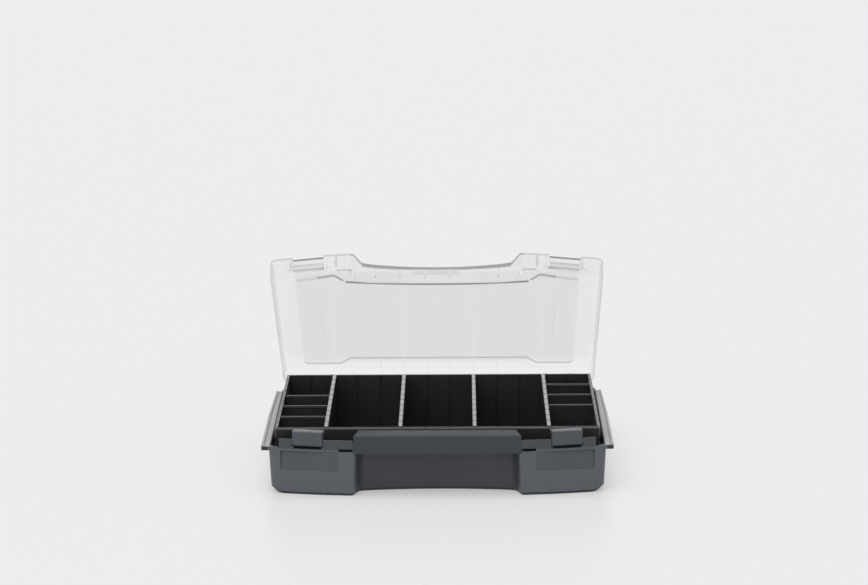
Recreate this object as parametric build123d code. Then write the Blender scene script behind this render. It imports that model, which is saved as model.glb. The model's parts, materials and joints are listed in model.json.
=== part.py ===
from build123d import *
import math
import os

# Low tool case: a dark moulded base with a clear hinged lid, two snap latches and loose dividers.
# Millimetres. X to the right, Y to the back, Z up. The origin is on the ground under the middle.

# Storage grid that everything is laid out on
grid = 26.0
grid_columns = 13
grid_rows = 10

# Depths in front of and behind the tray
handle_bay = 48.0
hinge_bay = 8.0

# Heights
shell_top = 50.0
rim_top = 59.0
tray_top = 63.0
ledge_top = 62.8
lid_top = 72.0
lid_skirt_bottom = 54.6

# Walls of the base
floor_thick = 2.5
tray_wall = 3.0
back_wall = 2.4
skin = 1.8
front_wall = 4.6
rim_wall = 2.0
rim_proud = 0.4
ledge_wall = 2.0
ledge_depth = 5.8
channel_gap = 3.7
side_draft = 3.0
front_draft = 2.0

# Foot of the shell
foot_height = 6.4
foot_side = 6.8
foot_front = 1.8
foot_front_height = 1.8
pocket_floor = 3.0

# Outline of the base seen from above
recess_half = 64.0
recess_middle = 29.0
recess_sag = 5.1
recess_corner = 9.0
recess_turn = 2.9
block_inner = 85.3
block_flank = 6.8
block_step = 4.8
block_middle = 126.0
block_shoulder = 16.0
block_round = 250.0
corner_radius = 11.0
rear_taper = 28.0
rear_round = 40.0
rear_corner = 5.0

# Side rails
rail_width = 7.5
rail_taper = 2.5
rail_thick = 4.1
rail_bead = 2.4
rail_bead_height = 0.5
rail_front_gap = 16.0

# Rim band of the front blocks
rim_start = 87.6
rim_end = 164.9
rim_bottom = 49.0
slot_end = 102.5
slot_low = 46.4
slot_high = 50.0

# Finger scoop under each latch
scoop_half = 30.8
scoop_low = 25.8
scoop_high = 46.6
scoop_deep = 2.4
scoop_step = 0.7

# Carry handle
handle_plate = 2.5
handle_low = 45.0
handle_top = 65.0
handle_depth = 23.5
handle_half = 87.0
handle_top_front = 86.0
handle_top_back = 81.8
handle_shoulder = 57.5
handle_round = 4.5
gutter_low = 52.6
gutter_thick = 1.5

# Grooves that hold the dividers
groove_width = 2.2
groove_deep = 1.2

# Dividers
plate_thick = 1.5
bead_thick = 3.8
bead_high = 3.0
cross_bead_thick = 2.8
divider_top = 63.5
divider_gap = 0.3
rib_wide = 1.1

# Latches
latch_length = 32.3
latch_centre = 134.3
latch_front = 6.0
latch_plate = 2.5
latch_low = 52.0
latch_top = 68.0
latch_foot_chamfer = 1.4
latch_lip = 2.4
latch_reach = 9.6
latch_hook = 0.8
latch_flange = 1.6
latch_pivot_rise = 1.9
latch_pivot_back = 0.7
pin_radius = 1.5
pin_length = 1.6
pin_gap = 0.05
latch_gap = 0.5
latch_swing_gap = 1.0
latch_slot_width = 29.6
latch_slot_height = 3.6
latch_slot_depth = 8.0
flange_depth = 2.4
web_thick = 3.4
web_depth = 2.7
web_rise = 3.2

# Lid
lid_wall = 2.0
lid_panel = 2.2
lid_half = 174.5
lid_gap = 0.5
lid_sag_top = 8.0
lid_sag_bottom = 1.2
lid_arc_half = 68.0
lid_draft = 2.8
lid_flank_over = 4.4
lid_shoulder_height = 65.6
lid_inner_corner = 6.0
lid_flank_corner = 3.0
lid_back_corner = 6.0
fence_wall = 1.5
fence_high = 3.0
fence_side = 150.5
fence_peak = 108.5
fence_foot = 97.5
fence_peak_y = -112.4
fence_foot_y = -94.0
fence_middle_y = -87.5
fence_corner_y = -97.0
fence_back_y = 134.0
fence_back_middle_y = 118.6
gusset_thick = 1.2
gusset_high = 5.4
gusset_front_deep = 12.0
tab_rib_deep = 9.0
frame_ridge = 1.6
frame_high = 0.35
frame_end_high = 0.9
frame_half = 127.0
frame_front = -17.0
frame_back = 64.0
window_side_gap = 0.9
window_low = 60.4
notch_back = 3.2
notch_wide_gap = 4.6
notch_rise = 0.8
catch_thick = 1.5
catch_gap = 0.4
pocket_wall = 1.2
pocket_depth = 9.0
skirt_rear_bottom = 63.3
open_angle = 34.1

# Hinge
hinge_radius = 2.6
hinge_pin = 1.4
hinge_gap = 0.05
hinge_height = 60.0
hinge_inner = 118.0
hinge_outer = 150.0
ear_thick = 3.6
knuckle_gap = 0.4
knuckle_slot = 2.3

# Places worked out from the sizes above
case_depth = handle_bay + grid_rows * grid + hinge_bay
front_y = -case_depth / 2
back_y = case_depth / 2
tray_front = front_y + handle_bay
tray_back = tray_front + grid_rows * grid
tray_mid = grid_columns * grid / 2
tray_inner = tray_mid - tray_wall / 2
tray_outer = tray_mid + tray_wall / 2
body_half = tray_outer + channel_gap + skin
rail_half = body_half + rail_width
ledge_front = tray_front - tray_wall - ledge_depth
rear_face = tray_back + tray_wall
side_slope = math.tan(math.radians(side_draft))
front_slope = math.tan(math.radians(front_draft))
hinge_y = back_y - hinge_radius - 0.05
hinge_axis = Axis((0, hinge_y, hinge_height), (-1, 0, 0))
block_lead = block_step / (block_middle - block_inner)
block_rise = (block_shoulder - block_step) / (body_half - block_middle)
latch_turn = math.degrees(math.atan(block_rise))
latch_pivot_height = latch_low + latch_pivot_rise
latch_y = front_y + latch_front + latch_plate + latch_pivot_back
lid_front = ledge_front - lid_gap - lid_wall
far = 400.0


def box(x0, x1, y0, y1, z0, z1):
    """A block between two corners."""
    size = (x1 - x0, y1 - y0, z1 - z0)
    middle = ((x0 + x1) / 2, (y0 + y1) / 2, (z0 + z1) / 2)
    return Pos(*middle) * Box(*size)


def both_sides(shape):
    """The shape and its mirror image across the middle of the case."""
    return shape + mirror(shape, about=Plane.YZ)


def rounded_path(points, radii):
    """Edges through the points, with an arc of its own radius at each inner corner."""
    edges = []
    here = Vector(*points[0])
    for before, corner, after, radius in zip(points, points[1:], points[2:], radii):
        middle = Vector(*corner)
        back = (Vector(*before) - middle).normalized()
        ahead = (Vector(*after) - middle).normalized()
        half_angle = math.radians(back.get_angle(ahead)) / 2
        run = radius / math.tan(half_angle)
        start, finish = middle + back * run, middle + ahead * run
        reach = radius / math.sin(half_angle) - radius
        crest = middle + (back + ahead).normalized() * reach
        edges += [Line(here, start).edge(), ThreePointArc(start, crest, finish).edge()]
        here = finish
    return edges + [Line(here, Vector(*points[-1])).edge()]


def closed_outline(half, radii, y_middle):
    """A face from the right half of its outline, with rounded corners and an arc across the front."""
    left = [(-x, y) for x, y in reversed(half)]
    edges = rounded_path(half + left, radii + list(reversed(radii)))
    arc = ThreePointArc(left[-1], (0, y_middle), half[0])
    return make_face(edges + [arc.edge()])


def base_outline(side, front):
    """The plan of the base, moved in by side at its sides and by front at its front."""
    y_middle = front_y + recess_middle + front
    y_end = y_middle - recess_sag
    step = front_y + block_step + front
    half = [
        (recess_half + front, y_end),
        (block_inner - block_flank + front, y_end - recess_turn),
        (block_inner + front, step - (block_middle - block_inner - front) * block_lead),
        (block_middle, step),
        (body_half - side, step + (body_half - side - block_middle) * block_rise),
        (body_half - side, rear_face - rear_taper),
        (tray_outer + 0.5 - side, rear_face),
    ]
    radii = [recess_corner, 2.0, block_round, corner_radius, rear_round, rear_corner]
    return closed_outline(half, radii, y_middle)


def base_loft(levels):
    """A solid through base outlines at given heights, each level being height, side and front."""
    sections = [Pos(0, 0, z) * base_outline(side, front) for z, side, front in levels]
    return loft(sections, ruled=True)


def shell_outer():
    """The drafted outside of the base with its sloping foot."""
    low_side = (shell_top - foot_height) * side_slope
    low_front = (shell_top - foot_front_height) * front_slope
    share = 1 - foot_front_height / foot_height
    return base_loft([
        (0, low_side + foot_side, low_front + foot_front),
        (foot_front_height, low_side + foot_side * share, low_front),
        (foot_height, low_side, (shell_top - foot_height) * front_slope),
        (shell_top, 0, 0),
    ])


def shell_inner(wall):
    """The space inside the skin and a front wall, which pockets and side channels are cut from."""
    rise = foot_height + 1.5
    low_side = (shell_top - rise) * side_slope + skin
    low_front = (shell_top - rise) * front_slope + wall
    return base_loft([
        (pocket_floor, low_side + foot_side - 1.5, low_front),
        (rise, low_side, low_front),
        (shell_top + 0.01, skin, wall),
    ])


def tray_block():
    """The four tray walls and the ledge in front of them, still solid."""
    walls = box(-tray_outer, tray_outer, tray_front - tray_wall, tray_back + back_wall,
                foot_height, tray_top)
    ledge = box(-tray_outer, tray_outer, ledge_front, tray_front - tray_wall,
                foot_height, ledge_top)
    return walls + ledge


def tray_space():
    """The room inside the tray, with its bottom side edges rounded to follow the foot."""
    space = box(-tray_inner, tray_inner, tray_front, tray_back, floor_thick, tray_top + 1)
    edges = space.edges().filter_by(Axis.Y).group_by(Axis.Z)[0]
    return fillet(edges, foot_height)


def groove_places():
    """The grid lines across the tray and along it, without the walls themselves."""
    across = [(n - grid_columns / 2) * grid for n in range(1, grid_columns)]
    along = [tray_front + n * grid for n in range(1, grid_rows)]
    return across, along


def wall_grooves():
    """Upright grooves in all four tray walls on the grid."""
    across, along = groove_places()
    w = groove_width / 2
    cuts = []
    for x in across:
        low, high = floor_thick, tray_top + 1
        cuts.append(box(x - w, x + w, tray_front - groove_deep, tray_front + 1, low, high))
        cuts.append(box(x - w, x + w, tray_back - 1, tray_back + groove_deep, low, high))
    for y in along:
        low, high = floor_thick + foot_height, tray_top + 1
        for side in (-1, 1):
            edge = side * tray_inner
            inner, outer = sorted((edge - side, edge + side * groove_deep))
            cuts.append(box(inner, outer, y - w, y + w, low, high))
    return cuts


def rim_band():
    """The raised band along the front of each block, a little proud of the shell."""
    ring = base_outline(0, -rim_proud) - base_outline(0, rim_wall - rim_proud)
    band = extrude(Pos(0, 0, rim_bottom) * ring, rim_top - rim_bottom)
    return band & box(rim_start, rim_end, front_y - 1, front_y + block_shoulder + 3, 0, far)


def rail():
    """The right side rail, a flange that narrows to the back with a bead along its edge."""
    start = front_y + rail_front_gap
    finish = rear_face - rear_taper
    low = shell_top - rail_thick
    outer = [(rail_half, start + 1.5), (rail_half, 0), (rail_half - rail_taper, finish)]
    plan = make_face(Polyline((tray_inner - 8, start), (rail_half - 1.5, start), *outer,
                              (tray_inner - 8, finish), close=True))
    flange = extrude(Pos(0, 0, low) * plan, rail_thick)
    bead_line = [(x - rail_bead, y) for x, y in reversed(outer)]
    bead_plan = make_face(Polyline(*outer, *bead_line, close=True))
    bead = extrude(Pos(0, 0, low) * bead_plan, rail_thick + rail_bead_height)
    hollow = extrude(Pos(0, 0, low - 1) * base_outline(skin / 2, skin / 2), rail_thick + 2)
    return flange + bead - hollow


def handle_plan(inset):
    """The plan of the handle's top, a bar whose ends slant like the lid's corners."""
    front, rear = front_y + inset, front_y + handle_depth - inset
    wide, narrow = handle_top_front - inset, handle_top_back - inset
    return make_face(Polyline((-wide, front), (wide, front), (narrow, rear), (-narrow, rear),
                              close=True))


def handle():
    """The carry handle: a hollow lip with a front plate, joined to the tray by a gutter."""
    body = extrude(Pos(0, 0, gutter_low) * handle_plan(0), handle_top - gutter_low)
    top_front = body.edges().filter_by(Axis.X).group_by(Axis.Z)[-1].sort_by(Axis.Y)[0]
    body = fillet(top_front, handle_round)
    hollow = extrude(Pos(0, 0, 0) * handle_plan(handle_plate), handle_top - handle_plate)
    plate = box(-handle_half, handle_half, front_y, front_y + handle_plate,
                handle_low, handle_top)
    corners = plate.edges().filter_by(Axis.Y).group_by(Axis.Z)[-1]
    fall = handle_top - handle_shoulder
    plate = chamfer(corners, handle_half - handle_top_front, length2=fall)
    top_edge = plate.edges().filter_by(Axis.X).group_by(Axis.Z)[-1].sort_by(Axis.Y)[0]
    plate = fillet(top_edge, handle_plate - 0.05)
    gutter = box(-rim_start, rim_start, front_y + handle_plate, ledge_front,
                 gutter_low, gutter_low + gutter_thick)
    rise = gutter_low + gutter_thick - shell_top
    upstand = extrude(Pos(0, 0, shell_top - 1) * base_outline(0, 0), rise + 1)
    upstand &= box(-rim_start, rim_start, -far, ledge_front + 1, 0, far)
    return body + plate + gutter + upstand - hollow


def in_latch_frame(shape):
    """Move a shape drawn about the pivot, X along it, to its place on the right block."""
    return Pos(latch_centre, latch_y, latch_pivot_height) * Rot(0, 0, latch_turn) * shape


def latch_bay_cut():
    """The opening in the rim that a latch swings in, with a narrower slot below it."""
    half = latch_length / 2 + latch_gap
    low = -latch_pivot_rise - latch_swing_gap
    bay = box(-half, half, -12, web_depth + 0.3, low, far)
    slot = box(-latch_slot_width / 2, latch_slot_width / 2, -12, latch_slot_depth,
               -latch_pivot_rise - latch_slot_height, 0)
    return in_latch_frame(bay + slot)


def latch_webs():
    """Two upright webs behind the rim, with blind bores for the latch's pins."""
    inner = latch_length / 2 + latch_gap
    top = web_rise
    low = pocket_floor - 1 - latch_pivot_height
    web = box(inner, inner + web_thick, -latch_plate, web_depth, low, top)
    webs = web + mirror(web, about=Plane.YZ)
    reach = latch_length / 2 + pin_length + 0.4
    bore = Rot(0, 90, 0) * Cylinder(pin_radius + pin_gap, 2 * reach)
    return in_latch_frame(webs), in_latch_frame(bore)


def scoop():
    """The shallow finger scoop under a latch, deeper towards the top."""
    face_low = (shell_top - scoop_low) * front_slope
    profile = make_face(Polyline((-9, scoop_low), (face_low + scoop_step, scoop_low),
                                 (scoop_deep, scoop_high), (-9, scoop_high), close=True))
    solid = extrude(Plane.YZ * profile, scoop_half, both=True)
    x = slot_end + scoop_half
    y = front_y + block_step + (x - block_middle) * block_rise
    return Pos(x, y, 0) * Rot(0, 0, latch_turn) * solid


def hinge_ears():
    """Ears on the back wall with the moulded pin that a lid knuckle snaps over."""
    foot = hinge_height - 4.0 * hinge_radius
    wall = tray_back + back_wall
    profile = make_face(Polyline((wall - 0.5, foot), (wall, foot),
                                 (hinge_y + hinge_radius * 0.8, hinge_height - hinge_radius * 0.6),
                                 (hinge_y, hinge_height + hinge_radius),
                                 (wall - 0.5, hinge_height + hinge_radius), close=True))
    ears = []
    for x in (hinge_inner, hinge_outer - ear_thick):
        plate = extrude(Plane.YZ.offset(x) * profile, ear_thick)
        knob = Pos(x + ear_thick / 2, hinge_y, hinge_height) * Rot(0, 90, 0)
        ears.append(plate + knob * Cylinder(hinge_radius, ear_thick))
    middle = (hinge_inner + hinge_outer) / 2
    pin = Pos(middle, hinge_y, hinge_height) * Rot(0, 90, 0)
    return ears[0] + ears[1] + pin * Cylinder(hinge_pin, hinge_outer - hinge_inner - 1)


def beam_space():
    """The hollow under the ledge and gutter, open to the ground."""
    depth_low = (shell_top - foot_height) * front_slope + foot_front + skin
    under_gutter = base_loft([(-1, 0, depth_low), (gutter_low, 0, skin)])
    limit = block_inner - skin
    under_gutter &= box(-limit, limit, -far, tray_front - tray_wall, -1, gutter_low)
    end = body_half - foot_side - 2 * skin - 2.0
    under_ledge = box(-end, end, ledge_front + ledge_wall, tray_front - tray_wall,
                      -1, ledge_top - ledge_wall)
    return under_gutter, under_ledge


def base_shell():
    """The whole base: one moulding with its tray, blocks, rails, handle and hinge ears."""
    base = shell_outer() + tray_block()
    inner = shell_inner(front_wall)
    pocket = inner & box(rim_start, far, front_y, ledge_front, pocket_floor, far)
    corner = shell_inner(skin) & box(rim_end, far, front_y, ledge_front, shell_top / 2, far)
    channel = inner & box(tray_outer, far, ledge_front - 1, rear_face - rear_taper - 3,
                          foot_height + 4, far)
    base -= both_sides(pocket)
    base -= both_sides(corner)
    base -= both_sides(channel)
    base -= tray_space()
    base += both_sides(rim_band())
    base += both_sides(rail())
    base += handle()
    webs, bores = latch_webs()
    webs &= box(0, far, front_y, ledge_front + 1, 0, far)
    webs &= extrude(base_outline(1.0, 1.0), lid_top)
    base += both_sides(webs)
    base -= both_sides(latch_bay_cut())
    base -= both_sides(bores)
    base -= both_sides(scoop())
    slot = box(rim_start, slot_end, front_y - 1, front_y + 9, slot_low, slot_high)
    base -= both_sides(slot)
    base += both_sides(hinge_ears())
    for space in beam_space():
        base -= space
    base -= wall_grooves()
    return base


def divider_plate(length):
    """An upright plate along Y with a bead along its top, starting at Y 0."""
    foot = floor_thick + divider_gap
    half = plate_thick / 2
    return box(-half, half, 0, length, foot, divider_top)


def long_divider(x):
    """A divider from the front wall to the back wall, with ribbed grooves on both faces."""
    reach = groove_deep - divider_gap
    start, finish = tray_front - reach, tray_back + reach
    plate = Pos(x, start, 0) * divider_plate(finish - start)
    bead_low = divider_top - bead_high
    half = bead_thick / 2
    body = plate + box(x - half, x + half, tray_front + divider_gap, tray_back - divider_gap,
                       bead_low, divider_top)
    foot = floor_thick + divider_gap
    for n in range(1, grid_rows):
        y = tray_front + n * grid
        outer = groove_width / 2 + rib_wide
        body += box(x - half, x + half, y - outer, y + outer, foot, divider_top)
    cuts = []
    for n in range(1, grid_rows):
        y = tray_front + n * grid
        w = groove_width / 2
        for side in (-1, 1):
            a, b = sorted((x + side * plate_thick / 2, x + side * (half + 1)))
            cuts.append(box(a, b, y - w, y + w, foot - 1, divider_top + 1))
    return body - cuts


def cross_divider(side, y, long_x):
    """A short divider between the outer long divider and the side wall, its corner cut to the foot."""
    inner = long_x + plate_thick / 2 + divider_gap
    outer = tray_inner + groove_deep - divider_gap
    foot = floor_thick + divider_gap
    rise = foot_height + divider_gap
    edge = tray_inner - divider_gap
    profile = make_face(Polyline((inner, foot), (edge - foot_height, foot),
                                 (edge, foot + rise), (outer, foot + rise + 1.5),
                                 (outer, divider_top - 0.5), (inner, divider_top - 0.5),
                                 close=True))
    plate = extrude(Plane.XZ * profile, plate_thick / 2, both=True)
    clear = bead_thick / 2 + divider_gap
    bead = box(long_x + clear, tray_inner - divider_gap, -cross_bead_thick / 2,
               cross_bead_thick / 2, divider_top - 0.5 - bead_high, divider_top - 0.5)
    piece = Pos(0, y, 0) * (plate + bead)
    return piece if side > 0 else mirror(piece, about=Plane.YZ)


def latch():
    """The right latch about its pivot: a plate with a hooked lip, two flanges and their pins."""
    half = latch_length / 2
    back = latch_pivot_back
    front = -latch_plate - back
    low = -latch_pivot_rise
    top = latch_top - latch_pivot_height
    under = top - latch_lip
    reach = front + latch_reach
    hook = catch_gap + 2 * latch_hook
    profile = make_face(Polyline((front + latch_foot_chamfer, low), (-back, low), (-back, under),
                                 (reach - latch_hook, under),
                                 (reach - latch_hook, under - hook), (reach, under - hook),
                                 (reach, top), (front, top),
                                 (front, low + latch_foot_chamfer), close=True))
    body = extrude(Plane.YZ * profile, half, both=True)
    crown = body.edges().filter_by(Axis.X).group_by(Axis.Z)[-1].sort_by(Axis.Y)[0]
    body = fillet(crown, 1.6)
    side = make_face(Polyline((-back - 0.5, low + 0.3), (flange_depth, low + 0.3),
                              (flange_depth, under + 0.5), (-back - 0.5, under + 0.5), close=True))
    flange = extrude(Plane.YZ.offset(half - latch_flange) * side, latch_flange)
    pin = Pos(half + pin_length / 2 - 0.5, 0, 0) * Rot(0, 90, 0)
    arm = flange + pin * Cylinder(pin_radius, pin_length + 1.0)
    return body + arm + mirror(arm, about=Plane.YZ)


def lid_outline(height, inset):
    """The plan of the lid at a height: two tabs around the handle, with drafted front faces."""
    drop = (lid_top - height) / (lid_top - lid_skirt_bottom)
    over = max(0.0, (height - lid_shoulder_height) / (lid_top - lid_shoulder_height))
    sag = lid_sag_bottom + (lid_sag_top - lid_sag_bottom) * (1 - drop)
    middle = lid_front + inset
    tab = front_y + lid_draft * drop + inset
    flank = handle_half + 2 * lid_gap + lid_draft * drop / 2 - over * lid_gap * 2 + inset
    narrow = handle_top_back + 2 * lid_gap - over * lid_flank_over + inset
    half = [
        (lid_arc_half, middle - sag),
        (narrow, middle - sag - 2 * lid_wall),
        (flank, tab + block_step - (block_middle - flank) * block_lead),
        (block_middle, tab + block_step),
        (lid_half - inset, tab + block_shoulder),
        (lid_half - inset, back_y - inset),
    ]
    radii = [lid_inner_corner, lid_flank_corner, block_round, corner_radius, lid_back_corner - inset]
    return closed_outline(half, radii, middle)


def lid_block(bottom, top, inset):
    """The space that the lid's outline takes between two heights."""
    heights = [bottom, top]
    if bottom < lid_shoulder_height < top:
        heights = [bottom, lid_shoulder_height, top]
    sections = [Pos(0, 0, z) * lid_outline(min(z, lid_top), inset) for z in heights]
    return loft(sections, ruled=True)


def latch_notch(wall):
    """The recess in the lid's front for a latch, grown by the thickness of its wall."""
    half = latch_length / 2 + window_side_gap + wall
    back = notch_back + wall
    low = -latch_pivot_height
    notch = box(-half, half, -15, back, low, far)
    wide = half + notch_wide_gap
    rise = web_rise + notch_rise + wall
    return in_latch_frame(notch + box(-wide, wide, -15, back, low, rise))


def lid_tray():
    """The lid's panel and skirt, with the skirt shorter across the back."""
    outer = lid_block(lid_skirt_bottom, lid_top, 0) - both_sides(latch_notch(0))
    space = lid_block(lid_skirt_bottom - 1, lid_top - lid_panel, lid_wall)
    space -= both_sides(latch_notch(lid_wall))
    edge = lid_half - lid_wall - 0.1
    rear = box(-edge, edge, back_y - hinge_bay + 1, back_y + 1, 0, skirt_rear_bottom)
    return outer - space - rear


def fence_outline(inset):
    """The plan of the ridge inside the lid, stepped round the tabs and the hinges."""
    half = [
        (fence_foot - inset, fence_foot_y + inset),
        (fence_peak, fence_peak_y + 2 * inset),
        (fence_side - inset, fence_corner_y + inset),
        (fence_side - inset, fence_back_y - inset),
        (fence_peak + inset, fence_back_y - inset),
        (fence_foot + inset, fence_back_middle_y - inset),
    ]
    left = [(-x, y) for x, y in reversed(half)]
    edges = rounded_path(half + left, [3, 5, 6, 5, 6, 6, 5, 6, 5, 3])
    arc = ThreePointArc(left[-1], (0, fence_middle_y + inset), half[0])
    return make_face(edges + [arc.edge()])


def lid_fence():
    """The low ridge under the panel that stiffens it and keeps small parts in place."""
    ring = fence_outline(0) - fence_outline(fence_wall)
    top = lid_top - lid_panel
    return extrude(Pos(0, 0, top - fence_high) * ring, fence_high + 0.1)


def lid_gussets():
    """Thin ribs on the grid behind the front skirt, before the back skirt and at the sides."""
    across, along = groove_places()
    top = lid_top - lid_panel + 0.1
    low = lid_top - lid_panel - gusset_high
    w = gusset_thick / 2
    ribs = []
    for x in across:
        if abs(x) < 3 * grid:
            bow = lid_sag_top * (x / lid_arc_half) ** 2
            start = lid_front + 1.0 - bow * (low - lid_skirt_bottom) / (lid_top - lid_skirt_bottom)
            ribs.append(box(x - w, x + w, start, lid_front + gusset_front_deep, low, top))
            ribs.append(box(x - w, x + w, fence_back_middle_y - 1.0, back_y - lid_wall + 0.5,
                            lid_top - lid_panel - fence_high, top))
    x = slot_end + 2 * gusset_thick
    front = front_y + lid_wall
    rib = box(x - w, x + w, front, front + tab_rib_deep, window_low, top)
    ribs += [rib, mirror(rib, about=Plane.YZ)]
    for row in (1.5, 5.5):
        y = tray_front + row * grid
        for side in (-1, 1):
            a, b = sorted((side * (fence_side - 0.5), side * (lid_half - lid_wall + 0.5)))
            ribs.append(box(a, b, y - w, y + w, lid_top - lid_panel - fence_high, top))
    return ribs


def lid_frame():
    """The plain raised frame under the middle of the panel, with bolder ends."""
    under = lid_top - lid_panel
    ridge = frame_ridge
    outer = box(-frame_half, frame_half, frame_front, frame_back, under - frame_high, under + 0.1)
    inner = box(-frame_half + ridge, frame_half - ridge, frame_front + ridge,
                frame_back - ridge, under - 5, under + 5)
    end = box(frame_half - ridge, frame_half, frame_front, frame_back,
              under - frame_end_high, under + 0.1)
    return outer - inner + both_sides(end)


def catch_pocket():
    """The walls of the pocket behind a latch window and the catch bar across it."""
    half = latch_length / 2 + window_side_gap
    low = window_low - latch_pivot_height - pocket_wall
    top = lid_top - lid_panel + 0.1 - latch_pivot_height
    v0 = notch_back + lid_wall - 0.2
    v1 = notch_back + pocket_depth
    walls = box(-half - pocket_wall, half + pocket_wall, v0, v1, low, top)
    walls -= box(-half, half, v0 - 1, v1 - pocket_wall, low + pocket_wall, top)
    catch_top = latch_top - latch_lip - catch_gap - latch_pivot_height
    hook_face = latch_reach - latch_plate - latch_pivot_back - latch_hook
    bar = box(-half - 0.5, half + 0.5, notch_back, hook_face - 0.3, catch_top - catch_thick,
              catch_top)
    return in_latch_frame(walls + bar)


def window_cut():
    """The opening in the lid's skirt that the latch's lip reaches through."""
    half = latch_length / 2 + window_side_gap
    low = window_low - latch_pivot_height
    top = lid_top - lid_panel - latch_pivot_height
    back = notch_back + lid_wall + 0.1
    return in_latch_frame(box(-half, half, notch_back - 1, back, low, top))


def lid_knuckles():
    """Open knuckles under the back edge that snap over the moulded pins."""
    x0 = hinge_inner + ear_thick + knuckle_gap
    x1 = hinge_outer - ear_thick - knuckle_gap
    middle = Pos((x0 + x1) / 2, hinge_y, hinge_height) * Rot(0, 90, 0)
    barrel = middle * Cylinder(hinge_radius, x1 - x0)
    arm = box(x0, x1, hinge_y + 0.2, back_y - 0.02, hinge_height, skirt_rear_bottom + 1)
    bore = middle * Cylinder(hinge_pin + hinge_gap, x1 - x0 + 2)
    mouth = knuckle_slot / 2
    slot = box(x0 - 1, x1 + 1, hinge_y - mouth, hinge_y + mouth,
               hinge_height - 2 * hinge_radius, hinge_height)
    return barrel + arm, bore, slot


def lid_closed():
    """The lid as it lies when shut."""
    lid = lid_tray()
    lid -= both_sides(window_cut())
    lid += both_sides(catch_pocket())
    lid += lid_fence()
    lid += lid_gussets()
    lid += lid_frame()
    knuckle, bore, slot = lid_knuckles()
    lid += both_sides(knuckle)
    lid -= both_sides(bore)
    lid -= both_sides(slot)
    return lid


def one_solid(shape):
    """The single solid of a finished piece."""
    solids = shape.solids()
    if len(solids) != 1:
        print("pieces:", [round(s.volume, 1) for s in solids])
    return max(solids, key=lambda s: s.volume) if len(solids) == 1 else shape


os.makedirs("parts", exist_ok=True)

pieces = {"base_shell": base_shell()}
pieces["lid"] = lid_closed().rotate(hinge_axis, open_angle)

right_latch = in_latch_frame(latch())
pieces["latch_right"] = right_latch
pieces["latch_left"] = mirror(right_latch, about=Plane.YZ)

long_lines = {
    "long_divider_far_left": -4.5 * grid,
    "long_divider_left": -1.5 * grid,
    "long_divider_right": 1.5 * grid,
    "long_divider_far_right": 4.5 * grid,
}
for name, x in long_lines.items():
    pieces[name] = long_divider(x)

cross_rows = {
    "cross_divider_left": (-1, (2, 4, 6)),
    "cross_divider_right": (1, (4, 6, 8)),
}
for name, (side, rows) in cross_rows.items():
    for count, row in enumerate(rows, start=1):
        y = tray_front + row * grid
        pieces[f"{name}_{count}"] = cross_divider(side, y, 4.5 * grid)

for name, shape in pieces.items():
    export_step(one_solid(shape), f"parts/{name}.step")
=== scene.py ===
import bpy
import json
import math
from mathutils import Matrix, Vector

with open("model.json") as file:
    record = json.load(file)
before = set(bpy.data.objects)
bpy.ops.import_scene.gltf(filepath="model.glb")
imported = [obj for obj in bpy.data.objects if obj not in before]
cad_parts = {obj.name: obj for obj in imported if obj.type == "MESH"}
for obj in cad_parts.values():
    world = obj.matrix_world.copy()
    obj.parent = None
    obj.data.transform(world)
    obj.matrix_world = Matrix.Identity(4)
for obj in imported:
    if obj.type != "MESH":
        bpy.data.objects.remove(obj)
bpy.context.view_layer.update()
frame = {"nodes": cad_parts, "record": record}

nodes = frame["nodes"]
print("frame loaded:", len(nodes), "pieces")


# Camera and room. Metres, with X right, Y back and Z up

cameraSet = {
    "place": (0.0246, -3.5596, 0.8579),
    "aim": (-0.00377, 0.020, 0.1816),
    "rollDegrees": -0.3618,
    "lens": 139.9,
    "sensor": 36.0,
    "reach": 60.0,
}

roomSet = {
    "floorSize": 40.0,
    "floorColour": (0.865, 0.865, 0.868, 1),
    "floorRoughness": 0.30,
    "floorOwnGlow": 0.60,
    # Painted shadow: the floor's own glow drops to this share in a soft box below the case
    "paintedShadowGlow": 0.40,
    "paintedShadowBox": ((-180, 180), (-168, 150)),
    "paintedShadowSoft": 0.02,
    "skyColour": (1.0, 1.0, 1.0, 1),
    "skySeen": 0.90,
    "skyLight": 0.62,
    "sun": {"name": "softSun", "turn": (24.0, -14.0, 0.0), "spread": 50.0, "strength": 0.95},
    "lights": [
        {"name": "frontSoftbox", "place": (-1.6, -3.6, 1.7), "aim": (0.0, -0.1, 0.05),
         "size": (2.2, 1.6), "watts": 9.0},
    ],
}


def pointAt(item, place, aim, roll=0.0):
    turn = (Vector(aim) - Vector(place)).to_track_quat("-Z", "Y").to_matrix().to_4x4()
    item.matrix_world = Matrix.Translation(place) @ turn @ Matrix.Rotation(roll, 4, "Z")


def addCamera(spec):
    data = bpy.data.cameras.new("caseCamera")
    data.lens = spec["lens"]
    data.sensor_width = spec["sensor"]
    data.clip_end = spec["reach"]
    item = bpy.data.objects.new("caseCamera", data)
    bpy.context.scene.collection.objects.link(item)
    pointAt(item, spec["place"], spec["aim"], math.radians(spec["rollDegrees"]))
    bpy.context.scene.camera = item


def addLight(spec):
    data = bpy.data.lights.new(spec["name"], "AREA")
    data.shape = "RECTANGLE"
    data.size, data.size_y = spec["size"]
    data.energy = spec["watts"]
    item = bpy.data.objects.new(spec["name"], data)
    bpy.context.scene.collection.objects.link(item)
    pointAt(item, spec["place"], spec["aim"])


def addSun(spec):
    data = bpy.data.lights.new(spec["name"], "SUN")
    data.energy = spec["strength"]
    data.angle = math.radians(spec["spread"])
    item = bpy.data.objects.new(spec["name"], data)
    bpy.context.scene.collection.objects.link(item)
    item.rotation_euler = [math.radians(turn) for turn in spec["turn"]]


# Small helpers for building shader nodes

def newMaterial(name):
    material = bpy.data.materials.new(name)
    material.use_nodes = True
    material.node_tree.nodes.clear()
    return material, material.node_tree


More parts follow.
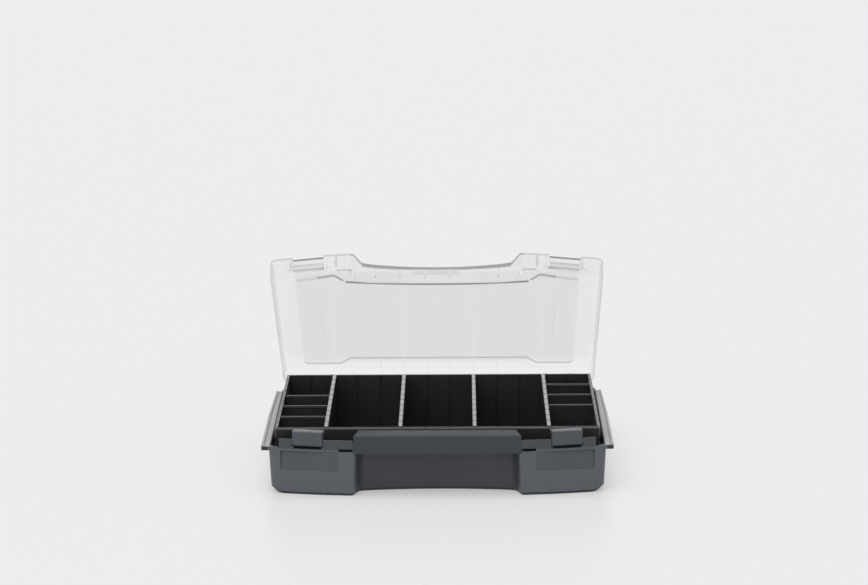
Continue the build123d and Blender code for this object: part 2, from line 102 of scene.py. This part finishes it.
def addNode(tree, kind, place, **settings):
    node = tree.nodes.new(kind)
    node.location = place
    for key, value in settings.items():
        setattr(node, key, value)
    return node


def setInputs(node, values):
    for key, value in values.items():
        node.inputs[key].default_value = value


def join(tree, source, target):
    tree.links.new(source, target)


def newGroup(name, inputs, outputs):
    group = bpy.data.node_groups.new(name, "ShaderNodeTree")
    for label, kind, value in inputs:
        socket = group.interface.new_socket(name=label, in_out="INPUT", socket_type=kind)
        if value is not None:
            socket.default_value = value
    for label, kind in outputs:
        group.interface.new_socket(name=label, in_out="OUTPUT", socket_type=kind)
    entry = addNode(group, "NodeGroupInput", (-900, 0))
    leave = addNode(group, "NodeGroupOutput", (900, 0))
    return group, entry, leave


def addGroup(tree, group, place, values=None):
    node = addNode(tree, "ShaderNodeGroup", place)
    node.node_tree = group
    setInputs(node, values or {})
    return node


def addMath(tree, operation, place, first=None, second=None, clamp=False):
    node = addNode(tree, "ShaderNodeMath", place, operation=operation, use_clamp=clamp)
    for index, value in enumerate((first, second)):
        if isinstance(value, (int, float)):
            node.inputs[index].default_value = value
        elif value is not None:
            join(tree, value, node.inputs[index])
    return node.outputs[0]


def addMix(tree, place, factor, first, second):
    # A Mix node has its colours at inputs 6 and 7, and at output 2
    node = addNode(tree, "ShaderNodeMix", place, data_type="RGBA")
    for index, value in ((0, factor), (6, first), (7, second)):
        if isinstance(value, (int, float, tuple)):
            node.inputs[index].default_value = value
        else:
            join(tree, value, node.inputs[index])
    return node.outputs[2]


# Effects that several materials share

def makeMouldGrain():
    # Spark-eroded mould texture: a fine pebble over a slow unevenness
    group, entry, leave = newGroup(
        "mouldGrain",
        [("Vector", "NodeSocketVector", None), ("Grain Scale", "NodeSocketFloat", 2600.0),
         ("Wave Scale", "NodeSocketFloat", 38.0), ("Wave Share", "NodeSocketFloat", 0.25)],
        [("Height", "NodeSocketFloat"), ("Tone", "NodeSocketFloat")],
    )
    pebble = addNode(group, "ShaderNodeTexNoise", (-600, 200))
    setInputs(pebble, {"Detail": 2.0, "Roughness": 0.55})
    wave = addNode(group, "ShaderNodeTexNoise", (-600, -100))
    setInputs(wave, {"Detail": 3.0, "Roughness": 0.5})
    for node, scale in ((pebble, "Grain Scale"), (wave, "Wave Scale")):
        join(group, entry.outputs["Vector"], node.inputs["Vector"])
        join(group, entry.outputs[scale], node.inputs["Scale"])
    slow = addMath(group, "MULTIPLY", (-300, -100),
                   wave.outputs["Fac"], entry.outputs["Wave Share"])
    height = addMath(group, "ADD", (0, 100), pebble.outputs["Fac"], slow)
    join(group, height, leave.inputs["Height"])
    join(group, wave.outputs["Fac"], leave.inputs["Tone"])
    return group


def makeEdgeCatch():
    # How near a sharp edge a point is, from the bend of a rounded normal
    group, entry, leave = newGroup(
        "edgeCatch",
        [("Radius", "NodeSocketFloat", 0.0005), ("Gain", "NodeSocketFloat", 3.0)],
        [("Edge", "NodeSocketFloat"), ("Normal", "NodeSocketVector")],
    )
    rounded = addNode(group, "ShaderNodeBevel", (-600, 100), samples=4)
    join(group, entry.outputs["Radius"], rounded.inputs["Radius"])
    geometry = addNode(group, "ShaderNodeNewGeometry", (-600, -150))
    dot = addNode(group, "ShaderNodeVectorMath", (-300, 0), operation="DOT_PRODUCT")
    join(group, rounded.outputs[0], dot.inputs[0])
    join(group, geometry.outputs["Normal"], dot.inputs[1])
    bend = addMath(group, "SUBTRACT", (0, 0), 1.0, dot.outputs["Value"])
    edge = addMath(group, "MULTIPLY", (300, 0), bend, entry.outputs["Gain"], clamp=True)
    join(group, edge, leave.inputs["Edge"])
    join(group, rounded.outputs[0], leave.inputs["Normal"])
    return group


def makeZoneMask():
    # One inside a box given by its middle and half size, with soft sides
    group, entry, leave = newGroup(
        "zoneMask",
        [("Vector", "NodeSocketVector", None), ("Middle", "NodeSocketVector", (0, 0, 0)),
         ("Half", "NodeSocketVector", (1, 1, 1)), ("Soft", "NodeSocketFloat", 0.0005)],
        [("Mask", "NodeSocketFloat")],
    )
    offset = addNode(group, "ShaderNodeVectorMath", (-650, 0), operation="SUBTRACT")
    join(group, entry.outputs["Vector"], offset.inputs[0])
    join(group, entry.outputs["Middle"], offset.inputs[1])
    size = addNode(group, "ShaderNodeVectorMath", (-480, 0), operation="ABSOLUTE")
    join(group, offset.outputs[0], size.inputs[0])
    room = addNode(group, "ShaderNodeVectorMath", (-310, 0), operation="SUBTRACT")
    join(group, entry.outputs["Half"], room.inputs[0])
    join(group, size.outputs[0], room.inputs[1])
    parts = addNode(group, "ShaderNodeSeparateXYZ", (-140, 0))
    join(group, room.outputs[0], parts.inputs[0])
    least = addMath(group, "MINIMUM", (30, 60), parts.outputs[0], parts.outputs[1])
    least = addMath(group, "MINIMUM", (200, 30), least, parts.outputs[2])
    share = addMath(group, "DIVIDE", (370, 0), least, entry.outputs["Soft"])
    mask = addMath(group, "ADD", (540, 0), share, 0.5, clamp=True)
    join(group, mask, leave.inputs["Mask"])
    return group


def makeCaseSpace():
    # Two folded spaces, the same on the left and the right: one plain, one measured back from the
    # line of the blocks' front faces
    group, entry, leave = newGroup(
        "caseSpace",
        [("Vector", "NodeSocketVector", None), ("Inner Slope", "NodeSocketFloat", 0.118),
         ("Inner Start", "NodeSocketFloat", -0.1681), ("Outer Slope", "NodeSocketFloat", 0.224),
         ("Outer Start", "NodeSocketFloat", -0.1814)],
        [("Plain", "NodeSocketVector"), ("Block", "NodeSocketVector")],
    )
    parts = addNode(group, "ShaderNodeSeparateXYZ", (-700, 0))
    join(group, entry.outputs["Vector"], parts.inputs[0])
    away = addMath(group, "ABSOLUTE", (-520, 100), parts.outputs[0])
    lines = []
    for row, label in enumerate(("Inner", "Outer")):
        slope = entry.outputs[label + " Slope"]
        start = entry.outputs[label + " Start"]
        rise = addMath(group, "MULTIPLY", (-340, 200 - 160 * row), away, slope)
        lines.append(addMath(group, "ADD", (-160, 200 - 160 * row), rise, start))
    front = addMath(group, "MAXIMUM", (20, 150), lines[0], lines[1])
    depth = addMath(group, "SUBTRACT", (200, 100), parts.outputs[1], front)
    for row, (label, middle) in enumerate((("Plain", parts.outputs[1]), ("Block", depth))):
        whole = addNode(group, "ShaderNodeCombineXYZ", (450, 150 - 200 * row))
        join(group, away, whole.inputs[0])
        join(group, middle, whole.inputs[1])
        join(group, parts.outputs[2], whole.inputs[2])
        join(group, whole.outputs[0], leave.inputs[label])
    return group


def makeGridNotch():
    # One where a groove of the storage grid crosses, along Y
    group, entry, leave = newGroup(
        "gridNotch",
        [("Vector", "NodeSocketVector", None), ("Pitch", "NodeSocketFloat", 0.026),
         ("Start", "NodeSocketFloat", -0.110), ("Half Width", "NodeSocketFloat", 0.0016),
         ("Soft", "NodeSocketFloat", 0.0006)],
        [("Mask", "NodeSocketFloat")],
    )
    parts = addNode(group, "ShaderNodeSeparateXYZ", (-700, 0))
    join(group, entry.outputs["Vector"], parts.inputs[0])
    along = addMath(group, "SUBTRACT", (-520, 0), parts.outputs[1], entry.outputs["Start"])
    folded = addNode(group, "ShaderNodeMath", (-340, 0), operation="PINGPONG")
    join(group, along, folded.inputs[0])
    halfPitch = addMath(group, "MULTIPLY", (-520, -160), entry.outputs["Pitch"], 0.5)
    join(group, halfPitch, folded.inputs[1])
    near = addMath(group, "SUBTRACT", (-160, 0), entry.outputs["Half Width"], folded.outputs[0])
    share = addMath(group, "DIVIDE", (20, 0), near, entry.outputs["Soft"])
    mask = addMath(group, "ADD", (200, 0), share, 0.5, clamp=True)
    join(group, mask, leave.inputs["Mask"])
    return group


def makeUpFacing():
    # One on faces whose normal, in the piece's own space, looks up
    group, entry, leave = newGroup(
        "upFacing",
        [("Normal", "NodeSocketVector", None), ("Least", "NodeSocketFloat", 0.6),
         ("Gain", "NodeSocketFloat", 8.0)],
        [("Mask", "NodeSocketFloat")],
    )
    facing = addNode(group, "ShaderNodeSeparateXYZ", (-400, 0))
    join(group, entry.outputs["Normal"], facing.inputs[0])
    over = addMath(group, "SUBTRACT", (-200, 0), facing.outputs[2], entry.outputs["Least"])
    share = addMath(group, "MULTIPLY", (0, 0), over, entry.outputs["Gain"])
    mask = addMath(group, "ADD", (200, 0), share, 0.5, clamp=True)
    join(group, mask, leave.inputs["Mask"])
    return group


def makeShutSpace():
    # The open lid's points and normals as they lie with the lid shut, and which faces are walls
    group, entry, leave = newGroup(
        "shutSpace",
        [("Vector", "NodeSocketVector", None), ("Normal", "NodeSocketVector", None),
         ("Hinge", "NodeSocketVector", (0, 0, 0)), ("Angle", "NodeSocketFloat", 0.0),
         ("Most Level", "NodeSocketFloat", 0.6)],
        [("Vector", "NodeSocketVector"), ("Wall", "NodeSocketFloat")],
    )
    turned = []
    for row, label in enumerate(("Vector", "Normal")):
        turn = addNode(group, "ShaderNodeVectorRotate", (-400, 200 - 300 * row),
                       rotation_type="X_AXIS")
        join(group, entry.outputs[label], turn.inputs["Vector"])
        join(group, entry.outputs["Angle"], turn.inputs["Angle"])
        turned.append(turn)
    join(group, entry.outputs["Hinge"], turned[0].inputs["Center"])
    join(group, turned[0].outputs[0], leave.inputs["Vector"])
    parts = addNode(group, "ShaderNodeSeparateXYZ", (-150, -100))
    join(group, turned[1].outputs[0], parts.inputs[0])
    level = addMath(group, "ABSOLUTE", (50, -100), parts.outputs[2])
    wall = addMath(group, "LESS_THAN", (250, -100), level, entry.outputs["Most Level"])
    join(group, wall, leave.inputs["Wall"])
    return group


effects = {"grain": makeMouldGrain(), "edge": makeEdgeCatch(), "zone": makeZoneMask(),
           "space": makeCaseSpace(), "notch": makeGridNotch(), "up": makeUpFacing(),
           "shut": makeShutSpace()}
print("shared effects ready")


# Finishes of the pieces

perMetre = 1000  # boxes are in millimetres


def zoneMask(tree, vector, sides, place, soft=0.0004):
    middle = [(low + high) / (2 * perMetre) for low, high in sides]
    half = [(high - low) / (2 * perMetre) for low, high in sides]
    node = addGroup(tree, effects["zone"], place, {"Middle": middle, "Half": half, "Soft": soft})
    join(tree, vector, node.inputs["Vector"])
    return node.outputs["Mask"]


def upMask(tree, spot, place):
    node = addGroup(tree, effects["up"], place)
    join(tree, spot.outputs["Normal"], node.inputs["Normal"])
    return node.outputs["Mask"]


def makeMoulded(name, spec):
    # Grained dark moulding, paler towards its sharp edges as a painted highlight. Its caller lays
    # zones over the colour and joins it to the shader
    material, tree = newMaterial(name)
    leave = addNode(tree, "ShaderNodeOutputMaterial", (900, 0))
    shader = addNode(tree, "ShaderNodeBsdfPrincipled", (600, 0))
    join(tree, shader.outputs[0], leave.inputs["Surface"])
    spot = addNode(tree, "ShaderNodeTexCoord", (-1100, 0))
    where = spot.outputs["Object"]
    grain = addGroup(tree, effects["grain"], (-800, -200))
    join(tree, where, grain.inputs["Vector"])
    edge = addGroup(tree, effects["edge"], (-800, 200), {"Radius": spec["edgeRadius"]})
    colour = addMix(tree, (-400, 200), grain.outputs["Tone"], spec["colour"], spec["paleColour"])
    # Painted highlight: the colour turns paler near sharp edges
    share = addMath(tree, "MULTIPLY", (-400, 400), edge.outputs["Edge"], spec["paintedEdgeShare"])
    colour = addMix(tree, (-150, 250), share, colour, spec["paintedEdgeColour"])
    rough = addNode(tree, "ShaderNodeMapRange", (-400, -100))
    setInputs(rough, {"To Min": spec["roughness"][0], "To Max": spec["roughness"][1]})
    join(tree, grain.outputs["Tone"], rough.inputs["Value"])
    join(tree, rough.outputs["Result"], shader.inputs["Roughness"])
    bump = addNode(tree, "ShaderNodeBump", (200, -250))
    setInputs(bump, {"Strength": spec["grainStrength"], "Distance": spec["grainHeight"]})
    join(tree, grain.outputs["Height"], bump.inputs["Height"])
    join(tree, edge.outputs["Normal"], bump.inputs["Normal"])
    join(tree, bump.outputs["Normal"], shader.inputs["Normal"])
    return material, tree, spot, colour, shader


# Each zone is a box in one of the folded spaces, in millimetres: across, along and up. Later
# zones lie over earlier ones, and "until" ends a zone at a place along the case
# Most of the zones below paint shade into the colour, and one paints a highlight
basePlastic = {
    "colour": (0.0875, 0.098, 0.113, 1),
    "paleColour": (0.098, 0.108, 0.1245, 1),
    # Painted highlight along sharp edges
    "paintedEdgeColour": (0.20, 0.205, 0.215, 1),
    "paintedEdgeShare": 0.40,
    "edgeRadius": 0.0006,
    "roughness": (0.44, 0.56),
    "grainHeight": 0.00003,
    "grainStrength": 0.25,
    "zones": [
        # Painted shade in the finger scoops in the blocks' fronts
        {"space": "Block", "box": ((102.6, 164.0), (-6, 12), (25.9, 46.5)),
         "colour": (0.067, 0.0745, 0.087, 1)},
        # Rims above the blocks
        {"space": "Block", "box": ((87.4, 166.0), (-6, 3.0), (49.2, 62)),
         "colour": (0.047, 0.0535, 0.062, 1)},
        # Painted shade on the set-back front wall, behind the handle
        {"space": "Plain", "box": ((-1, 84.8), (-152.5, -100), (-1, 52.4)),
         "colour": (0.051, 0.056, 0.065, 1)},
        # Handle
        {"space": "Plain", "box": ((-1, 87.2), (-170, -133.8), (44.6, 66)),
         "colour": (0.0275, 0.0342, 0.0435, 1)},
        # Painted shade on the handle's top
        {"space": "Plain", "box": ((-1, 87.2), (-152.5, -133.8), (64.6, 66)),
         "colour": (0.003, 0.006, 0.011, 1)},
        # Painted shade in the gutter behind the handle
        {"space": "Plain", "box": ((-1, 88.5), (-133.8, -118.0), (52.0, 62.0)),
         "colour": (0.007, 0.007, 0.008, 1)},
        # Painted shade in the hollow inside the blocks
        {"space": "Block", "box": ((88.0, 169.0), (2.6, 60), (30, 62.2)),
         "colour": (0.006, 0.006, 0.007, 1), "until": -107.0},
        # The same painted shade at the corners
        {"space": "Block", "box": ((168.5, 172.6), (6.5, 60), (48, 62.2)),
         "colour": (0.006, 0.006, 0.007, 1), "until": -107.0},
        # Painted shade along the foot
        {"space": "Plain", "box": ((-1, 190), (-170, 170), (-1, 2.8)),
         "colour": (0.018, 0.020, 0.024, 1)},
        # Painted shade in the channels between the tray and the side walls
        {"space": "Plain", "box": ((170.7, 173.0), (-130, 150), (32, 62)),
         "colour": (0.006, 0.006, 0.007, 1)},
        # Painted shade on the top of the tray's front wall
        {"space": "Plain", "box": ((-1, 171.0), (-124.5, -109.3), (62.2, 66)),
         "colour": (0.020, 0.021, 0.024, 1)},
        # Painted shade inside the tray
        {"space": "Plain", "box": ((-1, 169.3), (-111.8, 151.8), (1, 62.7)),
         "colour": (0.0105, 0.0105, 0.0115, 1)},
        # Painted highlight on the tray's front corners
        {"space": "Plain", "box": ((169.4, 171.2), (-119.4, -109.0), (55, 63.4)),
         "colour": (0.12, 0.125, 0.13, 1)},
        # Painted shade on the front ends of the rails
        {"space": "Plain", "box": ((176.8, 190), (-145, -141.4), (44, 52)),
         "colour": (0.018, 0.018, 0.020, 1)},
    ],
    # Painted highlight on the tops of the tray's side walls, between the grooves
    "rimHighlightColour": (0.17, 0.175, 0.18, 1),
    "rimHighlightBox": ((167.0, 171.0), (-109.5, 155), (62.2, 66)),
    # Painted sheen on the tops of the rails, with a darker painted line along each
    "railSheenColour": (0.42, 0.425, 0.42, 1),
    "railSheenBox": ((175.2, 190), (-141.4, 132), (45, 53)),
    "railSheenLineColour": (0.27, 0.275, 0.27, 1),
    "railSheenLineBox": ((179.6, 181.3), (-170, 132), (45, 53)),
}


def makeBaseMaterial(spec):
    material, tree, spot, colour, shader = makeMoulded("basePlastic", spec)
    where = spot.outputs["Object"]
    space = addGroup(tree, effects["space"], (-850, 800))
    join(tree, where, space.inputs["Vector"])
    # Lay the zones, most of them painted shade, over the colour
    for row, zone in enumerate(spec["zones"]):
        mask = zoneMask(tree, space.outputs[zone["space"]], zone["box"], (-400, 700 + 180 * row))
        if "until" in zone:
            limit = ((-1, 400), (-400, zone["until"]), (-1, 100))
            near = zoneMask(tree, space.outputs["Plain"], limit, (-600, 700 + 180 * row))
            mask = addMath(tree, "MULTIPLY", (-200, 800 + 180 * row), mask, near)
        colour = addMix(tree, (-100 + 60 * row, 500 + 180 * row), mask, colour, zone["colour"])
    up = upMask(tree, spot, (-400, 2600))
    notch = addGroup(tree, effects["notch"], (-400, 2750))
    join(tree, where, notch.inputs["Vector"])
    whole = addMath(tree, "SUBTRACT", (-200, 2750), 1.0, notch.outputs["Mask"])
    # Painted highlight on the tray rims' top faces, left out where grooves cross
    rim = zoneMask(tree, space.outputs["Plain"], spec["rimHighlightBox"], (-400, 2900))
    rim = addMath(tree, "MULTIPLY", (-100, 2850), rim, up)
    rim = addMath(tree, "MULTIPLY", (50, 2800), rim, whole)
    colour = addMix(tree, (500, 2600), rim, colour, spec["rimHighlightColour"])
    # Painted sheen on the rails' top faces, darker along a line
    line = zoneMask(tree, space.outputs["Plain"], spec["railSheenLineBox"], (-400, 3200))
    rail = addMix(tree, (0, 3200), line, spec["railSheenColour"], spec["railSheenLineColour"])
    onRail = zoneMask(tree, space.outputs["Plain"], spec["railSheenBox"], (-400, 3400))
    onRail = addMath(tree, "MULTIPLY", (0, 3400), onRail, up)
    colour = addMix(tree, (650, 2600), onRail, colour, rail)
    join(tree, colour, shader.inputs["Base Color"])
    return material


latchPlastic = {
    "colour": (0.0575, 0.0645, 0.0785, 1),
    "paleColour": (0.0665, 0.0735, 0.088, 1),
    # Painted highlight along sharp edges
    "paintedEdgeColour": (0.17, 0.175, 0.19, 1),
    "paintedEdgeShare": 0.45,
    "edgeRadius": 0.0007,
    "roughness": (0.38, 0.48),
    "grainHeight": 0.00003,
    "grainStrength": 0.22,
    # Painted highlight on the top faces
    "topHighlightColour": (0.138, 0.143, 0.158, 1),
}

longDividerPlastic = {
    "colour": (0.0115, 0.0115, 0.0130, 1),
    "paleColour": (0.0145, 0.0145, 0.0160, 1),
    # Painted highlight along sharp edges
    "paintedEdgeColour": (0.05, 0.05, 0.055, 1),
    "paintedEdgeShare": 0.2,
    "edgeRadius": 0.0004,
    "roughness": (0.42, 0.54),
    "grainHeight": 0.00003,
    "grainStrength": 0.2,
    # Painted highlight on the top faces, and painted shade where grooves cross them
    "topHighlightColour": (0.36, 0.36, 0.355, 1),
    "notchShadeColour": (0.12, 0.12, 0.125, 1),
}

crossDividerPlastic = dict(
    longDividerPlastic,
    # Painted highlight on the top faces
    topHighlightColour=(0.060, 0.060, 0.064, 1),
    notchShadeColour=None,
    # Painted highlight on the bead along the top
    beadHighlightBox=((-200, 200), (-200, 200), (61.4, 80)),  # bead along the top
    beadHighlightColour=(0.052, 0.052, 0.056, 1),
)


def makeToppedMaterial(name, spec):
    # A moulding with paler top faces, a painted highlight, and dark notches, painted shade, where
    # grooves cross them
    material, tree, spot, colour, shader = makeMoulded(name, spec)
    where = spot.outputs["Object"]
    # Painted highlight on faces that look up
    up = upMask(tree, spot, (-400, 700))
    top = spec["topHighlightColour"]
    # Painted highlight on the bead
    if spec.get("beadHighlightBox"):
        band = zoneMask(tree, where, spec["beadHighlightBox"], (-400, 1100))
        colour = addMix(tree, (150, 700), band, colour, spec["beadHighlightColour"])
    if spec.get("notchShadeColour"):
        notch = addGroup(tree, effects["notch"], (-400, 900))
        join(tree, where, notch.inputs["Vector"])
        top = addMix(tree, (0, 900), notch.outputs["Mask"], top, spec["notchShadeColour"])
    colour = addMix(tree, (350, 500), up, colour, top)
    join(tree, colour, shader.inputs["Base Color"])
    return material


# The greyer colours below stand for the thick edges and roots that look grey in clear plastic: apart
# from the flat of the panel, they are painted shade for the light these edges bend away. Their boxes
# are in the plain folded space, with the lid shut, and colour only upright faces unless "anyFace" is
# set
clearPlastic = {
    "colour": (0.985, 0.985, 0.988, 1),
    # Painted shade: greyer towards sharp edges, for the light that clear plastic bends away there
    "paintedEdgeColour": (0.80, 0.80, 0.80, 1),
    "paintedEdgeShare": 0.8,
    "edgeRadius": 0.0009,
    "roughness": 0.03,
    "ior": 1.05,
    "coatWeight": 0.15,
    "coatRoughness": 0.14,
    "coatIor": 1.5,
    "shadowColour": (0.90, 0.90, 0.90, 1),
    "hinge": (0.0, 0.15535, 0.060),
    "openDegrees": 34.1,
    "lidGreySoft": 0.0003,
    "lidGreys": [
        # Flat of the panel
        {"box": ((-1, 150), (-113, 137), (53, 75)),
         "colour": (0.905, 0.905, 0.893, 1), "anyFace": True, "soft": 0.004},
        # Front edge, in the middle
        {"box": ((-1, 78.5), (-137.5, -118), (69.2, 72.5)), "colour": (0.20, 0.20, 0.205, 1)},
        # Front edge, on the slopes up to the tabs
        {"box": ((78.5, 90.5), (-159, -128), (69.9, 72.5)), "colour": (0.36, 0.36, 0.365, 1)},
        # Front edge, on the tabs
        {"box": ((90.5, 173), (-159, -138), (70.4, 72.5)), "colour": (0.55, 0.55, 0.555, 1)},
        # Edge above the latch windows
        {"box": ((117.6, 151), (-150.6, -141), (69.6, 72.5)), "colour": (0.15, 0.15, 0.155, 1)},
        # Side walls, seen along their length
        {"box": ((172.2, 176), (-142, 158), (53, 73)),
         "colour": (0.78, 0.78, 0.785, 1), "anyFace": True},
        # Fence at the front, in the middle
        {"box": ((-1, 100), (-116, -84), (65.9, 68.6)), "colour": (0.32, 0.32, 0.33, 1)},
        # The same below the tabs
        {"box": ((100, 126), (-116, -84), (65.9, 68.6)), "colour": (0.46, 0.46, 0.465, 1)},
        # The same towards the corners
        {"box": ((126, 148.5), (-116, -84), (65.9, 68.6)), "colour": (0.80, 0.80, 0.80, 1)},
        # Fence at the back
        {"box": ((-1, 148.5), (116, 136), (66.4, 67.8)), "colour": (0.55, 0.55, 0.55, 1)},
        # Ribs in the tabs
        {"box": ((103.6, 106.2), (-156, -141), (60, 69.9)), "colour": (0.74, 0.74, 0.745, 1)},
        # Lower edge of the tabs
        {"box": ((87, 104), (-157, -150), (54.5, 56.0)), "colour": (0.60, 0.60, 0.605, 1)},
        # Gussets behind the front edge
        {"box": ((-1, 60), (-120, -109), (64.2, 69.9)), "colour": (0.75, 0.75, 0.755, 1)},
        # Catch bars in the windows
        {"box": ((116, 154), (-147, -130), (59, 69.9)), "colour": (0.86, 0.86, 0.865, 1)},
        # Sides of the plain frame
        {"box": ((125.0, 127.4), (-17.2, 64.2), (68.7, 70.2)),
         "colour": (0.82, 0.82, 0.82, 1), "anyFace": True},
    ],
}


def makeLidMaterial(spec):
    material, tree = newMaterial("clearPlastic")
    leave = addNode(tree, "ShaderNodeOutputMaterial", (900, 0))
    shader = addNode(tree, "ShaderNodeBsdfPrincipled", (300, 0))
    setInputs(shader, {"Transmission Weight": 1.0, "IOR": spec["ior"],
                       "Roughness": spec["roughness"], "Coat Weight": spec["coatWeight"],
                       "Coat Roughness": spec["coatRoughness"], "Coat IOR": spec["coatIor"]})
    spot = addNode(tree, "ShaderNodeTexCoord", (-1100, 0))
    shut = addGroup(tree, effects["shut"], (-850, 600),
                    {"Hinge": spec["hinge"], "Angle": math.radians(spec["openDegrees"])})
    join(tree, spot.outputs["Object"], shut.inputs["Vector"])
    join(tree, spot.outputs["Normal"], shut.inputs["Normal"])
    space = addGroup(tree, effects["space"], (-650, 600))
    join(tree, shut.outputs["Vector"], space.inputs["Vector"])
    edge = addGroup(tree, effects["edge"], (-450, 250), {"Radius": spec["edgeRadius"]})
    # Painted shade: the colour turns greyer near sharp edges
    share = addMath(tree, "MULTIPLY", (-200, 250), edge.outputs["Edge"], spec["paintedEdgeShare"])
    colour = addMix(tree, (0, 250), share, spec["colour"], spec["paintedEdgeColour"])
    # Painted shade in boxes over the lid's edges and roots, on a greyer flat of the panel
    for row, lidGrey in enumerate(spec["lidGreys"]):
        mask = zoneMask(tree, space.outputs["Plain"], lidGrey["box"], (-400, 500 + 180 * row),
                        soft=lidGrey.get("soft", spec["lidGreySoft"]))
        if not lidGrey.get("anyFace"):
            mask = addMath(tree, "MULTIPLY", (-200, 500 + 180 * row), mask, shut.outputs["Wall"])
        colour = addMix(tree, (0, 500 + 180 * row), mask, colour, lidGrey["colour"])
    join(tree, colour, shader.inputs["Base Color"])
    # Shadow rays pass straight through the lid, a little dimmed
    film = addNode(tree, "ShaderNodeBsdfTransparent", (300, -450))
    setInputs(film, {"Color": spec["shadowColour"]})
    rays = addNode(tree, "ShaderNodeLightPath", (300, 400))
    mix = addNode(tree, "ShaderNodeMixShader", (650, 0))
    join(tree, rays.outputs["Is Shadow Ray"], mix.inputs[0])
    join(tree, shader.outputs[0], mix.inputs[1])
    join(tree, film.outputs[0], mix.inputs[2])
    join(tree, mix.outputs[0], leave.inputs["Surface"])
    return material


def seenByEye(tree, place):
    # One for camera, mirror and glass rays
    rays = addNode(tree, "ShaderNodeLightPath", place)
    seen = addMath(tree, "MAXIMUM", (place[0] + 250, place[1] + 100),
                   rays.outputs["Is Camera Ray"], rays.outputs["Is Glossy Ray"])
    return addMath(tree, "MAXIMUM", (place[0] + 400, place[1]), seen,
                   rays.outputs["Is Transmission Ray"])


def paintedShadowUnderCase(tree, spec):
    # One on the floor below the case, where a painted shadow lowers the floor's own glow. Plain
    # nodes, because it ends in a mix of shaders
    where = addNode(tree, "ShaderNodeTexCoord", (-1400, 700))
    parts = addNode(tree, "ShaderNodeSeparateXYZ", (-1200, 700))
    join(tree, where.outputs["Object"], parts.inputs[0])
    rooms = []
    for row, (low, high) in enumerate(spec["paintedShadowBox"]):
        middle = (low + high) / (2 * perMetre)
        half = (high - low) / (2 * perMetre)
        offset = addMath(tree, "SUBTRACT", (-1000, 800 - 200 * row), parts.outputs[row], middle)
        size = addMath(tree, "ABSOLUTE", (-820, 800 - 200 * row), offset)
        rooms.append(addMath(tree, "SUBTRACT", (-640, 800 - 200 * row), half, size))
    least = addMath(tree, "MINIMUM", (-460, 700), rooms[0], rooms[1])
    share = addMath(tree, "DIVIDE", (-300, 850), least, spec["paintedShadowSoft"])
    return addMath(tree, "ADD", (-300, 700), share, 0.5, clamp=True)


def makeFloorMaterial(spec):
    material, tree = newMaterial("paleFloor")
    leave = addNode(tree, "ShaderNodeOutputMaterial", (700, 0))
    shader = addNode(tree, "ShaderNodeBsdfPrincipled", (200, 0))
    setInputs(shader, {"Base Color": spec["floorColour"], "Roughness": spec["floorRoughness"]})
    glow = addNode(tree, "ShaderNodeEmission", (200, -500))
    setInputs(glow, {"Color": spec["floorColour"]})
    # Painted shadow: less of the floor's own glow below the case
    change = spec["paintedShadowGlow"] - spec["floorOwnGlow"]
    shadowDimming = addMath(tree, "MULTIPLY", (-130, 700), paintedShadowUnderCase(tree, spec), change)
    glowShare = addMath(tree, "ADD", (0, 700), shadowDimming, spec["floorOwnGlow"])
    share = addMath(tree, "MULTIPLY", (200, 300), seenByEye(tree, (-400, 300)), glowShare)
    mix = addNode(tree, "ShaderNodeMixShader", (500, 0))
    join(tree, share, mix.inputs[0])
    join(tree, shader.outputs[0], mix.inputs[1])
    join(tree, glow.outputs[0], mix.inputs[2])
    join(tree, mix.outputs[0], leave.inputs["Surface"])
    return material


def makeSky(spec):
    world = bpy.data.worlds.new("paleRoom")
    bpy.context.scene.world = world
    world.use_nodes = True
    tree = world.node_tree
    tree.nodes.clear()
    leave = addNode(tree, "ShaderNodeOutputWorld", (600, 0))
    glow = addNode(tree, "ShaderNodeBackground", (300, 0))
    setInputs(glow, {"Color": spec["skyColour"]})
    seen = seenByEye(tree, (-500, 0))
    strength = addNode(tree, "ShaderNodeMapRange", (80, 0))
    setInputs(strength, {"To Min": spec["skyLight"], "To Max": spec["skySeen"]})
    join(tree, seen, strength.inputs["Value"])
    join(tree, strength.outputs["Result"], glow.inputs["Strength"])
    join(tree, glow.outputs[0], leave.inputs["Surface"])


def addFloor(spec):
    bpy.ops.object.select_all(action="DESELECT")
    bpy.ops.mesh.primitive_plane_add(size=spec["floorSize"], location=(0, 0, 0))
    floor = bpy.context.active_object
    floor.name = "paleFloor"
    floor.data.materials.append(makeFloorMaterial(spec))


addCamera(cameraSet)
addSun(roomSet["sun"])
for lightSpec in roomSet["lights"]:
    addLight(lightSpec)
makeSky(roomSet)
addFloor(roomSet)
bpy.context.scene.view_settings.view_transform = "Standard"
print("room ready")

finishes = {
    "base_plastic": makeBaseMaterial(basePlastic),
    "latch_plastic": makeToppedMaterial("latchPlastic", latchPlastic),
    "divider_plastic": makeToppedMaterial("longDividerPlastic", longDividerPlastic),
    "clear_lid": makeLidMaterial(clearPlastic),
}
crossFinish = makeToppedMaterial("crossDividerPlastic", crossDividerPlastic)


def dressNode(name, slotName):
    item = nodes[name]
    item.data.materials.clear()
    item.data.materials.append(crossFinish if name.startswith("cross_") else finishes[slotName])


for part in frame["record"]["subparts"]:
    dressNode(part["node"], part["material_slot"])
